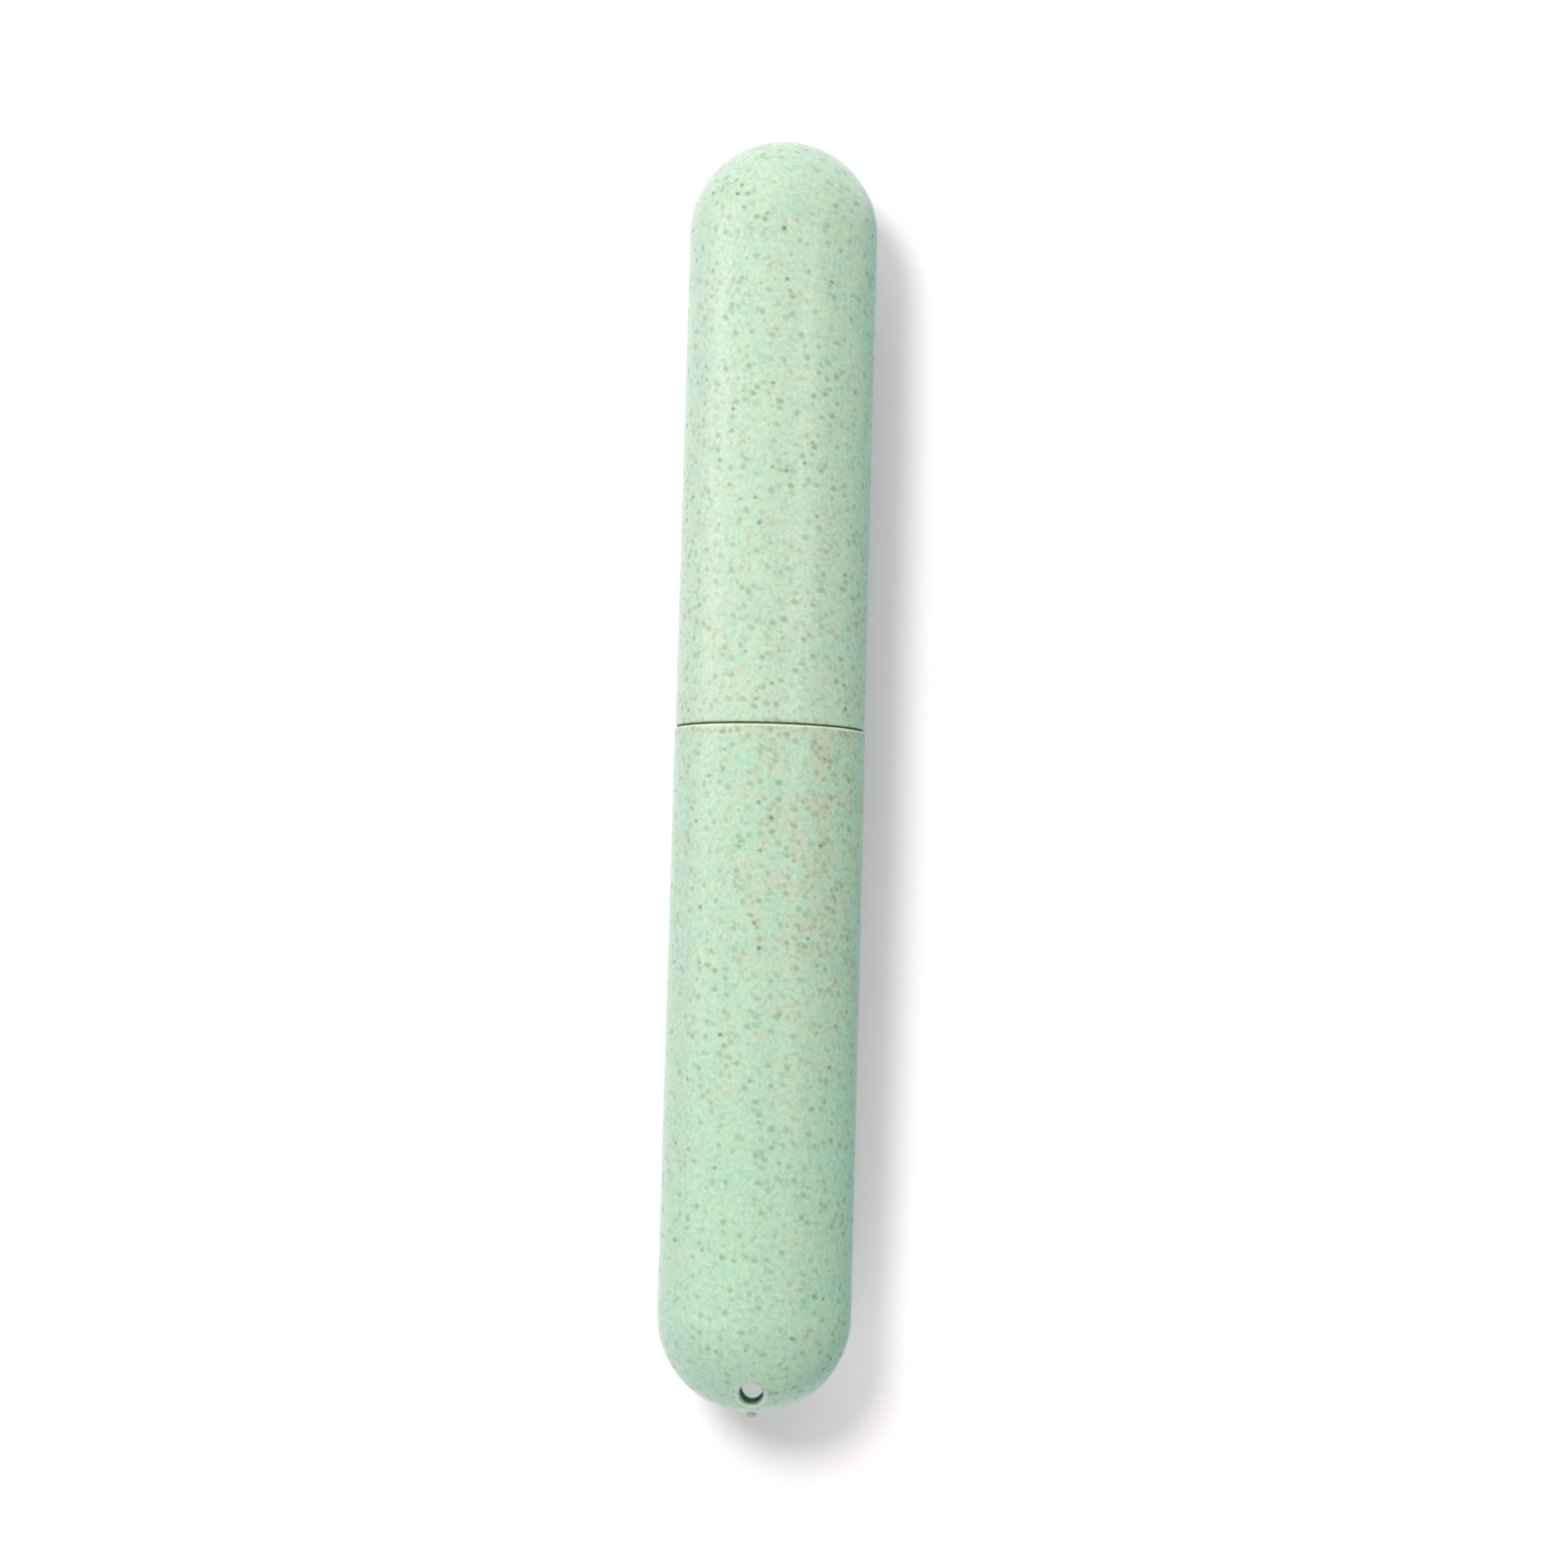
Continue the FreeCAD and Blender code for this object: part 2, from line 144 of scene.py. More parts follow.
def strawCrowd(tree, place, part, look):
    # Straw crowds towards the open end, which fills last, most of all on one side and in a band
    # at the edge.
    along = addNode(tree, "ShaderNodeMapRange", {"interpolation_type": "SMOOTHSTEP"},
                    {"Value": part["Y"], "From Min": look["thin"], "From Max": look["dense"]})
    across = addNode(tree, "ShaderNodeMapRange", {"interpolation_type": "SMOOTHSTEP"},
                     {"Value": part["X"], "From Min": look["left"], "From Max": look["right"],
                      "To Min": look["leftShare"], "To Max": look["rightShare"]})
    lump = addNode(tree, "ShaderNodeTexNoise", {},
                   {"Vector": place, "Scale": 1 / strawPlastic["crowdSize"]})
    sparse, full = strawPlastic["crowdRange"]
    lumped = addNode(tree, "ShaderNodeMapRange", {},
                     {"Value": lump["Fac"], "From Min": sparse, "From Max": full})
    drawn = addNode(tree, "ShaderNodeMath", {"operation": "MULTIPLY"},
                    {0: along["Result"], 1: lumped["Result"]})
    sided = addNode(tree, "ShaderNodeMath", {"operation": "MULTIPLY"},
                    {0: drawn["Value"], 1: across["Result"]})
    band = stripe(tree, part["Y"], look["bandEdges"], look["bandShare"])
    return addNode(tree, "ShaderNodeMath", {"operation": "MAXIMUM"},
                   {0: sided["Value"], 1: band})["Value"]


def mottledGreen(tree, place, look):
    drift = addNode(tree, "ShaderNodeTexNoise", {},
                    {"Vector": place, "Scale": 1 / strawPlastic["driftSize"]})
    low, high = strawPlastic["driftRange"]
    drifted = addNode(tree, "ShaderNodeMapRange", {},
                      {"Value": drift["Fac"], "From Min": low, "From Max": high})
    green = addNode(tree, "ShaderNodeMix", {"data_type": "RGBA"},
                    {mixShare: drifted["Result"], mixFrom: hexColour(look["mint"]),
                     mixTo: hexColour(look["leafGreen"])})[mixResult]
    mottle = addNode(tree, "ShaderNodeTexNoise", {},
                     {"Vector": place, "Scale": 1 / strawPlastic["mottleSize"],
                      "Detail": strawPlastic["mottleDetail"]})
    low, high = strawPlastic["mottleRange"]
    change = strawPlastic["mottleShade"]
    shade = addNode(tree, "ShaderNodeMapRange", {},
                    {"Value": mottle["Fac"], "From Min": low, "From Max": high,
                     "To Min": 1 - change, "To Max": 1 + change})
    return addNode(tree, "ShaderNodeVectorMath", {"operation": "SCALE"},
                   {0: green, "Scale": shade["Result"]})["Vector"]


def fleckMask(tree, place, crowd, fleck):
    # Egg-shaped grains scattered through the plastic, seen where the surface cuts them.
    turn = [math.radians(angle) for angle in fleck["turn"]]
    cell = fleck["spacing"] * mm
    turned = addNode(tree, "ShaderNodeMapping", {"vector_type": "TEXTURE"},
                     {"Vector": place, "Rotation": turn, "Scale": (cell, cell * fleck["stretch"], cell)})
    cells = addNode(tree, "ShaderNodeTexVoronoi", {}, {"Vector": turned["Vector"], "Scale": 1.0})
    inner, outer = (radius / fleck["spacing"] for radius in fleck["edge"])
    spot = addNode(tree, "ShaderNodeMapRange", {"interpolation_type": "SMOOTHSTEP"},
                   {"Value": cells["Distance"], "From Min": inner, "From Max": outer,
                    "To Min": 1.0, "To Max": 0.0})
    chance = addNode(tree, "ShaderNodeSeparateColor", {}, {"Color": cells["Color"]})
    share = addNode(tree, "ShaderNodeMath", {"operation": "MULTIPLY_ADD"},
                    {0: crowd, 1: fleck["crowded"], 2: fleck["kept"]})
    kept = addNode(tree, "ShaderNodeMath", {"operation": "LESS_THAN"},
                   {0: chance["Red"], 1: share["Value"]})
    shown = addNode(tree, "ShaderNodeMath", {"operation": "MULTIPLY"},
                    {0: spot["Result"], 1: kept["Value"]})
    palest = strawPlastic["palest"] * fleck["strength"]
    varied = addNode(tree, "ShaderNodeMapRange", {},
                     {"Value": chance["Green"], "To Min": palest, "To Max": fleck["strength"]})
    return addNode(tree, "ShaderNodeMath", {"operation": "MULTIPLY"},
                   {0: shown["Value"], 1: varied["Result"]})["Value"]


def wearAndPaintedHighlight(tree, place, part, look, colour):
    # Bare plastic at the torn gate, and painted highlights on rounded edges that face the light, given
    # along the case and outwards from its axis.
    spoke = addNode(tree, "ShaderNodeVectorMath", {"operation": "MULTIPLY_ADD"},
                    {0: place, 1: (1, 0, 1), 2: (0, 0, -axisHeight)})
    outward = addNode(tree, "ShaderNodeVectorMath", {"operation": "LENGTH"}, {0: spoke["Vector"]})
    for bare in look["bare"]:
        mask = stripe(tree, part["Y"], bare["along"], bare["strength"])
        mask = stripe(tree, outward["Value"], bare["outward"], mask)
        colour = addNode(tree, "ShaderNodeMix", {"data_type": "RGBA"},
                         {mixShare: mask, mixFrom: colour,
                          mixTo: hexColour(strawPlastic[bare["colour"]])})[mixResult]
    hole = look["hole"]
    if hole:
        # A painted highlight on the hole's rounded edge, strongest on the side towards the tip, which
        # faces the key lamp.
        apart = addNode(tree, "ShaderNodeVectorMath", {"operation": "MULTIPLY_ADD"},
                        {0: place, 1: (1, 1, 0), 2: (0, -hole["along"], 0)})
        reach = addNode(tree, "ShaderNodeVectorMath", {"operation": "LENGTH"}, {0: apart["Vector"]})
        away, towards = hole["tipSide"]
        least, most = hole["share"]
        tipSide = addNode(tree, "ShaderNodeMapRange", {"interpolation_type": "SMOOTHSTEP"},
                          {"Value": part["Y"], "From Min": away, "From Max": towards,
                           "To Min": least, "To Max": most})
        ring = stripe(tree, reach["Value"], hole["ring"], tipSide["Result"])
        colour = addNode(tree, "ShaderNodeMix", {"data_type": "RGBA"},
                         {mixShare: ring, mixFrom: colour,
                          mixTo: hexColour(strawPlastic["rubbed"])})[mixResult]
    return colour


def strawPolypropylene(name, look):
    # Injection-moulded polypropylene filled with ground wheat straw: an opaque pale mint with soft
    # olive, tan and brown flecks in it, and the low sheen of a finely grained mould.
    material = bpy.data.materials.new(name)
    tree = emptyTree(material)
    place = addNode(tree, "ShaderNodeTexCoord", {}, {})["Object"]
    part = addNode(tree, "ShaderNodeSeparateXYZ", {}, {"Vector": place})

    crowd = strawCrowd(tree, place, part, look)
    haze = addNode(tree, "ShaderNodeMath", {"operation": "MULTIPLY"},
                   {0: crowd, 1: strawPlastic["hazeStrength"]})["Value"]
    colour = addNode(tree, "ShaderNodeMix", {"data_type": "RGBA"},
                     {mixShare: haze, mixFrom: mottledGreen(tree, place, look),
                      mixTo: hexColour(strawPlastic["haze"])})[mixResult]

    noiseMiddle = (0.5, 0.5, 0.5)   # a noise texture's colour strays from this by up to half
    stray = addNode(tree, "ShaderNodeTexNoise", {},
                    {"Vector": place, "Scale": 1 / strawPlastic["wanderSize"]})
    offset = addNode(tree, "ShaderNodeVectorMath", {"operation": "SUBTRACT"},
                     {0: stray["Color"], 1: noiseMiddle})
    strayed = addNode(tree, "ShaderNodeVectorMath", {"operation": "MULTIPLY_ADD"},
                      {0: offset["Vector"], 1: (2 * strawPlastic["wander"],) * 3, 2: place})["Vector"]
    cover = haze
    for fleck in flecks:
        mask = fleckMask(tree, strayed, crowd, fleck)
        colour = addNode(tree, "ShaderNodeMix", {"data_type": "RGBA", "label": fleck["name"]},
                         {mixShare: mask, mixFrom: colour, mixTo: hexColour(fleck["colour"])})[mixResult]
        cover = addNode(tree, "ShaderNodeMath", {"operation": "MAXIMUM"}, {0: cover, 1: mask})["Value"]
    colour = wearAndPaintedHighlight(tree, place, part, look, colour)

    smooth, coarse = strawPlastic["roughness"]
    rough = addNode(tree, "ShaderNodeMapRange", {}, {"Value": cover, "To Min": smooth, "To Max": coarse})
    grain = addNode(tree, "ShaderNodeTexNoise", {},
                    {"Vector": place, "Scale": 1 / strawPlastic["grainSize"]})
    bump = addNode(tree, "ShaderNodeBump", {},
                   {"Height": grain["Fac"], "Distance": strawPlastic["grainDepth"]})
    surface = addNode(tree, "ShaderNodeBsdfPrincipled", {},
                      {"Base Color": colour, "Roughness": rough["Result"], "Normal": bump["Normal"],
                       "IOR": strawPlastic["ior"]})
    addNode(tree, "ShaderNodeOutputMaterial", {}, {"Surface": surface["BSDF"]})
    print(f"{name}: plastic with {len(flecks)} kinds of fleck")
    return material


# Turned profiles: x is the radius and y runs along the case

def lineTo(bm, start, radius, along, cuts=0):
    end = bm.verts.new((radius, along, axisHeight))
    edge = bm.edges.new((start, end))
    for left in range(cuts, 0, -1):
        edge = bmesh.utils.edge_split(edge, end, left / (left + 1))[0]
    return end


def arcTo(bm, start, centre, angle, steps):
    turned = bmesh.ops.spin(bm, geom=[start], cent=(0, centre, axisHeight), axis=(0, 0, 1),
                            angle=angle, steps=steps)
    return turned["geom_last"][0]


def roundCorner(bm, corner, rounding):
    size, segments = rounding
    bmesh.ops.bevel(bm, geom=[corner], offset=size, offset_type="OFFSET", affect="VERTICES",
                    segments=segments, profile=0.5, material=-1)


def turnProfile(bm, columns):
    middle = (0, 0, axisHeight)
    bmesh.ops.spin(bm, geom=bm.verts[:] + bm.edges[:], cent=middle, axis=(0, 1, 0),
                   angle=math.tau, steps=columns, use_merge=True)
    bmesh.ops.remove_doubles(bm, verts=bm.verts[:], dist=weld)
    halfColumn = Matrix.Rotation(math.pi / columns, 3, "Y")
    bmesh.ops.rotate(bm, verts=bm.verts[:], cent=middle, matrix=halfColumn)
    bmesh.ops.recalc_face_normals(bm, faces=bm.faces[:])


def fromAxis(point):
    return math.hypot(point.x, point.z - axisHeight)


def placeMesh(bm, name, material):
    mesh = bpy.data.meshes.new(name)
    bm.to_mesh(mesh)
    bm.free()
    mesh.materials.append(material)
    placed = bpy.data.objects.new(name, mesh)
    bpy.context.scene.collection.objects.link(placed)
    return placed


def finishPiece(bm, name, material, body, node):
    bmesh.ops.remove_doubles(bm, verts=bm.verts[:], dist=weld)
    bmesh.ops.recalc_face_normals(bm, faces=bm.faces[:])
    openEdges = sum(1 for edge in bm.edges if not edge.is_manifold)
    piece = placeMesh(bm, name, material)
    piece.data.shade_smooth()
    piece.data.set_sharp_from_angle(angle=sharpAngle)
    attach(piece, body)
    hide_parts(node)
    print(f"{name}: {len(piece.data.polygons)} faces, {openEdges} open edges")
    return piece


# Body

bodyShell = {
    "shoulderRadius": 15.0 * mm,
    "neckRadius": 13.6 * mm,
    "neckLength": 16.0 * mm,
    "mouthRadius": 12.6 * mm,
    "boreEndRadius": 12.45 * mm,
    "tipWall": 4.45 * mm,
    "shoulderRound": (0.3 * mm, 6),   # corners: size and segments, with one segment for a chamfer
    "neckRootRound": (0.2 * mm, 4),
    "neckLead": (0.35 * mm, 1),
    "mouthRound": (0.25 * mm, 5),
    "support": 0.7 * mm,              # ring beside a corner that keeps the wall's shading flat
    "columns": 216,
    "domeSteps": 60,
    "wallCuts": 24,
}

gripRibs = {
    "count": 6,
    "columns": 3,
    "crestRadius": 13.8 * mm,
    "foot": 1.5 * mm,                 # from the shoulder
    "setback": 2.0 * mm,              # from the neck's end
    "lead": 2.5 * mm,                 # the head's slope
    "cuts": 3,
    "nearNeck": 0.15 * mm,            # a face this near the neck's radius is part of it
}

gateStub = {
    "height": 0.87 * mm,
    "footRadius": 0.85 * mm,
    "endRadius": 0.6 * mm,
    "endRound": (0.12 * mm, 3),
    "endCuts": 4,
    "sideCuts": 5,
    "tear": 0.16 * mm,
    "tearSize": 0.5 * mm,
    "tearSeed": 20,                   # without a seed the tear would differ from run to run
}

holeSize = {
    "round": 0.5 * mm,
    "rubbedPast": 0.4 * mm,           # how far past the rounded edge the painted highlight reaches
    "columns": 96,
    "steps": 8,
    "margin": 0.45 * mm,
    "facing": (-0.6, 0.8),            # the dome there looks this far along and up or down
}

holeMount = frame["record"]["mounts"][0]
holeAlong = holeMount["pos_m"][1]
holeRadius = holeMount["dims"]["r_mm"] * mm
paintedHighlightFrom = holeRadius + holeSize["round"] / 2
paintedHighlightMost = holeRadius + holeSize["round"]

shoulderAlong = bodyHigh.y - bodyShell["neckLength"]
ribFootAlong = shoulderAlong + gripRibs["foot"]
ribHeadAlong = bodyHigh.y - gripRibs["setback"]
domeRadius = bodyHigh.x
domeTip = bodyLow.y + gateStub["height"]
domeCentre = domeTip + domeRadius
boreEndCentre = domeTip + bodyShell["tipWall"] + bodyShell["boreEndRadius"]

# The body's greens are a shade deeper and less red than the cap's: painted shade, for light that falls
# off from the cap's end towards the tip.
bodyLook = {
    "mint": "#A4CDB7",
    "leafGreen": "#B5CEAE",
    "thin": bodyHigh.y - 85 * mm,
    "dense": bodyHigh.y - 40 * mm,
    "left": -10 * mm,
    "right": 7 * mm,
    "leftShare": 0.25,
    "rightShare": 1.0,
    "bandEdges": [(shoulderAlong - 3.0 * mm, shoulderAlong - 0.6 * mm),
                  (shoulderAlong + 0.6 * mm, shoulderAlong)],
    "bandShare": 1.2,
    "bare": [
        {"colour": "torn", "strength": 0.5,
         "along": [(bodyLow.y + 1.0 * mm, bodyLow.y + 0.6 * mm)], "outward": []},
        # A painted highlight on the shoulder's rounded edge, which faces the light.
        {"colour": "rubbed", "strength": 0.5,
         "along": [(shoulderAlong - 0.45 * mm, shoulderAlong - 0.2 * mm)],
         "outward": [(bodyShell["shoulderRadius"] - 0.55 * mm, bodyShell["shoulderRadius"] - 0.2 * mm)]},
    ],
    # A painted highlight round the hole's rounded edge, stronger on the side towards the tip.
    "hole": {
        "along": holeAlong,
        "ring": [(paintedHighlightMost + holeSize["rubbedPast"], paintedHighlightMost), (paintedHighlightFrom, paintedHighlightMost)],
        "tipSide": (holeAlong + paintedHighlightFrom, holeAlong - paintedHighlightFrom),
        "share": (0.1, 0.7),
    },
}


def bodyProfile(bm):
    size = bodyShell
    footAngle = math.asin(gateStub["footRadius"] / domeRadius)
    footAlong = domeCentre - domeRadius * math.cos(footAngle)
    stubEnd = bm.verts.new((0, bodyLow.y, axisHeight))
    stubEdge = lineTo(bm, stubEnd, gateStub["endRadius"], bodyLow.y, cuts=gateStub["endCuts"])
    stubFoot = lineTo(bm, stubEdge, gateStub["footRadius"], footAlong, cuts=gateStub["sideCuts"])
    domeEnd = arcTo(bm, stubFoot, domeCentre, math.pi / 2 - footAngle, size["domeSteps"])

    slope = (domeRadius - size["shoulderRadius"]) / (shoulderAlong - domeCentre)
    nearShoulder = lineTo(bm, domeEnd, size["shoulderRadius"] + slope * size["support"],
                          shoulderAlong - size["support"], cuts=size["wallCuts"])
    shoulder = lineTo(bm, nearShoulder, size["shoulderRadius"], shoulderAlong)
    neckRoot = lineTo(bm, shoulder, size["neckRadius"], shoulderAlong)
    ribFoot = lineTo(bm, neckRoot, size["neckRadius"], ribFootAlong)
    ribSlope = lineTo(bm, ribFoot, size["neckRadius"], ribHeadAlong - gripRibs["lead"],
                      cuts=gripRibs["cuts"])
    ribHead = lineTo(bm, ribSlope, size["neckRadius"], ribHeadAlong)
    nearEnd = lineTo(bm, ribHead, size["neckRadius"], bodyHigh.y - size["support"])
    neckEnd = lineTo(bm, nearEnd, size["neckRadius"], bodyHigh.y)
    mouth = lineTo(bm, neckEnd, size["mouthRadius"], bodyHigh.y)
    nearMouth = lineTo(bm, mouth, size["mouthRadius"], bodyHigh.y - size["support"])
    boreEnd = lineTo(bm, nearMouth, size["boreEndRadius"], boreEndCentre, cuts=size["wallCuts"])
    arcTo(bm, boreEnd, boreEndCentre, -math.pi / 2, size["domeSteps"])

    roundCorner(bm, stubEdge, gateStub["endRound"])
    roundCorner(bm, shoulder, size["shoulderRound"])
    roundCorner(bm, neckRoot, size["neckRootRound"])
    roundCorner(bm, neckEnd, size["neckLead"])
    roundCorner(bm, mouth, size["mouthRound"])


def raiseRibs(bm):
    # The neck's faces that lie under a rib are extruded and moved out to its crest. The head slopes.
    pitch = 360 / gripRibs["count"]
    halfWidth = 180 * gripRibs["columns"] / bodyShell["columns"]
    raised = []
    for face in bm.faces:
        middle = face.calc_center_median()
        onNeck = abs(fromAxis(middle) - bodyShell["neckRadius"]) < gripRibs["nearNeck"]
        if not onNeck or not ribFootAlong < middle.y < ribHeadAlong:
            continue
        angle = math.degrees(math.atan2(middle.z - axisHeight, middle.x))
        if abs((angle + pitch / 2) % pitch - pitch / 2) < halfWidth:
            raised.append(face)
    made = bmesh.ops.extrude_face_region(bm, geom=raised)["geom"]
    bmesh.ops.delete(bm, geom=raised, context="FACES")
    gain = gripRibs["crestRadius"] / bodyShell["neckRadius"]
    for vert in [item for item in made if isinstance(item, bmesh.types.BMVert)]:
        if vert.co.y < ribHeadAlong - weld:
            vert.co.x *= gain
            vert.co.z = axisHeight + (vert.co.z - axisHeight) * gain
    bmesh.ops.remove_doubles(bm, verts=bm.verts[:], dist=weld)


def tearStub(bm):
    # The gate was broken off, so the stub's end is torn and leans a little.
    noise.seed_set(gateStub["tearSeed"])
    for vert in bm.verts:
        rise = domeTip - vert.co.y
        if rise <= 0 or fromAxis(vert.co) > gateStub["footRadius"]:
            continue
        share = rise / gateStub["height"]
        push = noise.noise_vector(vert.co / gateStub["tearSize"])
        vert.co.y += gateStub["tear"] * share * (push.y + abs(push.x))
        vert.co.x += gateStub["tear"] * share * push.x
        vert.co.z += gateStub["tear"] * share * push.z


# Hanging hole

def ballPlace(turn, side):
    # Middle of a ball that rolls round the hole's edge, touching the dome and the hole's wall.
    reach = holeRadius + holeSize["round"]
    x, y = reach * math.cos(turn), holeAlong + reach * math.sin(turn)
    rise = math.sqrt((domeRadius - holeSize["round"]) ** 2 - x ** 2 - (y - domeCentre) ** 2)
    return Vector((x, y, axisHeight + side * rise))


def edgePoint(turn, side, share):
    # Point on the rounded edge: share 0 on the dome, 1 on the wall.
    ball = ballPlace(turn, side)
    outward = (ball - Vector((0, domeCentre, axisHeight))).normalized()
    inward = Vector((-math.cos(turn), -math.sin(turn), 0))
    return ball + outward.slerp(inward, share) * holeSize["round"]


def windowRise(turn):
    # Half height of the opening where the hole breaks into the end of the bore.
    x, y = holeRadius * math.cos(turn), holeAlong + holeRadius * math.sin(turn)
    square = bodyShell["boreEndRadius"] ** 2 - x ** 2 - (y - boreEndCentre) ** 2
    return math.sqrt(max(square, 0))


def clearDome(bm, centre, radius, middle, reach):
    # Takes away the dome's faces round the hole, so that its edge can be set in.
    dome = Vector((0, centre, axisHeight))
    gone = []
    for face in bm.faces:
        onDome = all(abs((vert.co - dome).length - radius) < onSurface for vert in face.verts)
        if onDome and any(math.hypot(vert.co.x, vert.co.y - middle) < reach for vert in face.verts):
            gone.append(face)
    bmesh.ops.delete(bm, geom=gone, context="FACES")


def setHole(bm):
    steps = holeSize["steps"]
    near, far = (edgePoint(turn, 1, 0).y for turn in (math.pi / 2, -math.pi / 2))
    clearDome(bm, domeCentre, domeRadius, (near + far) / 2, (near - far) / 2 + holeSize["margin"])
    clearDome(bm, boreEndCentre, bodyShell["boreEndRadius"], holeAlong, holeRadius + holeSize["margin"])

    # A plain tube first, with rings for the top edge's steps, both ends of the window and the bottom
    # edge's steps. They stand far apart, so that each is known by its height.
    windowTop = steps + 1
    windowBottom = windowTop + 1
    lastRing = windowBottom + steps + 1
    ringGap = 1.0
    ring = bmesh.ops.create_circle(bm, segments=holeSize["columns"], radius=holeRadius,
                                   matrix=Matrix.Translation((0, holeAlong, ringGap)))["verts"]
    tubeVerts = list(ring)
    edges = list({edge for vert in ring for edge in vert.link_edges})
    for _ in range(lastRing):
        made = bmesh.ops.extrude_edge_only(bm, edges=edges)["geom"]
        ring = [item for item in made if isinstance(item, bmesh.types.BMVert)]
        edges = [item for item in made if isinstance(item, bmesh.types.BMEdge)
                 and all(vert in ring for vert in item.verts)]
        bmesh.ops.translate(bm, verts=ring, vec=(0, 0, ringGap))
        tubeVerts += ring

    # The window's faces go, then every ring moves to its place.
    turns = {vert: math.atan2(vert.co.y - holeAlong, vert.co.x) for vert in tubeVerts}
    rings = {vert: round(vert.co.z / ringGap) - 1 for vert in tubeVerts}
    tubeFaces = {face for vert in tubeVerts for face in vert.link_faces}
    window = []
    for face in tubeFaces:
        atWindow = {rings[vert] for vert in face.verts} == {windowTop, windowBottom}
        if atWindow and any(windowRise(turns[vert]) > 0 for vert in face.verts):
            window.append(face)
    bmesh.ops.delete(bm, geom=window, context="FACES")
    for vert in tubeVerts:
        place, turn = rings[vert], turns[vert]
        if place < windowTop:
            vert.co = edgePoint(turn, 1, place / steps)
        elif place > windowBottom:
            vert.co = edgePoint(turn, -1, (lastRing - place) / steps)
        else:
            side = 1 if place == windowTop else -1
            vert.co = Vector((holeRadius * math.cos(turn), holeAlong + holeRadius * math.sin(turn),
                              axisHeight + side * windowRise(turn)))
    bmesh.ops.remove_doubles(bm, verts=bm.verts[:], dist=weld)

    # The dome is closed up to the hole's edges, and the bore's end up to the window.
    openEdges = [edge for edge in bm.edges if edge.is_boundary]
    bore = Vector((0, boreEndCentre, axisHeight))
    boreReach = bodyShell["boreEndRadius"] + holeSize["margin"]
    inside = [edge for edge in openEdges
              if all((vert.co - bore).length < boreReach for vert in edge.verts)]
    outside = [edge for edge in openEdges if edge not in inside]
    facingAlong, facingUp = holeSize["facing"]
    for side in (1, -1):
        loop = [edge for edge in outside if side * (edge.verts[0].co.z - axisHeight) > 0]
        bmesh.ops.triangle_fill(bm, use_beauty=True, edges=loop, normal=(0, facingAlong, facingUp * side))
    bmesh.ops.triangle_fill(bm, use_beauty=True, edges=inside, normal=(0, -1, 0))


def makeBody(material):
    bm = bmesh.new()
    bodyProfile(bm)
    turnProfile(bm, bodyShell["columns"])
    raiseRibs(bm)
    tearStub(bm)
    setHole(bm)
    return finishPiece(bm, "body_shell", material, "case_body", "case_body")


# Cap

capShell = {
    "domeRadius": 14.85 * mm,
    "socketRadius": 13.85 * mm,
    "socketDepth": 16.0 * mm,
    "boreRadius": 12.6 * mm,
    "boreEndRadius": 12.45 * mm,
    "tipWall": 2.4 * mm,
    "rimRound": (0.3 * mm, 6),        # corners as on the body
    "rimLead": (0.35 * mm, 1),
    "rootRound": (0.2 * mm, 4),
    "stepRound": (0.25 * mm, 5),
    "support": 0.7 * mm,
    "columns": 216,
    "domeSteps": 60,
    "wallCuts": 20,
    "socketCuts": 4,
}

capLook = {
    "mint": "#AACEBA",
    "leafGreen": "#BCCFB1",
    "thin": capLow.y + 60 * mm,
    "dense": capLow.y + 5 * mm,
    "left": -12 * mm,
    "right": 12 * mm,
    "leftShare": 0.35,
    "rightShare": 0.35,
    "bandEdges": [(capLow.y + 1.5 * mm, capLow.y)],
    "bandShare": 0.3,
    "bare": [],
    "hole": None,
}


def capProfile(bm):
    size = capShell
    rimRadius = capHigh.x
    rimAlong = capLow.y
    centre = capHigh.y - size["domeRadius"]
    boreCentre = capHigh.y - size["tipWall"] - size["boreEndRadius"]
    step = rimAlong + size["socketDepth"]
    tip = bm.verts.new((0, capHigh.y, axisHeight))
    domeEnd = arcTo(bm, tip, centre, -math.pi / 2, size["domeSteps"])
    slope = (rimRadius - size["domeRadius"]) / (centre - rimAlong)
    nearRim = lineTo(bm, domeEnd, rimRadius - slope * size["support"],
                     rimAlong + size["support"], cuts=size["wallCuts"])
    rim = lineTo(bm, nearRim, rimRadius, rimAlong)
    lead = lineTo(bm, rim, size["socketRadius"], rimAlong)
    inRim = lineTo(bm, lead, size["socketRadius"], rimAlong + size["support"])
    nearRoot = lineTo(bm, inRim, size["socketRadius"], step - size["support"], cuts=size["socketCuts"])
    root = lineTo(bm, nearRoot, size["socketRadius"], step)
    stepEdge = lineTo(bm, root, size["boreRadius"], step)
    pastStep = lineTo(bm, stepEdge, size["boreRadius"], step + size["support"])
    boreEnd = lineTo(bm, pastStep, size["boreEndRadius"], boreCentre, cuts=size["wallCuts"])
    arcTo(bm, boreEnd, boreCentre, math.pi / 2, size["domeSteps"])

    roundCorner(bm, rim, size["rimRound"])
    roundCorner(bm, lead, size["rimLead"])
    roundCorner(bm, root, size["rootRound"])
    roundCorner(bm, stepEdge, size["stepRound"])


def makeCap(material):
    bm = bmesh.new()
    capProfile(bm)
    turnProfile(bm, capShell["columns"])
    return finishPiece(bm, "cap_shell", material, "case_cap", "case_cap")


# Floor, lights and camera

floorSetup = {
    "halfSize": 1.6,
    "gap": 0.02 * mm,
    "colour": "#FBF4F7",
    "bounce": "#8AC2C6",    # what the case gets back from it
    "gain": 1.44,           # how much brighter the camera sees it
    "lift": (0.02, 0.09),   # white that the camera sees on top of that, at the middle and past the hole; the rise past the hole is painted light in the tip's shadow
    "fade": (0.22, 0.6),    # from here to there it turns into the white backdrop
}

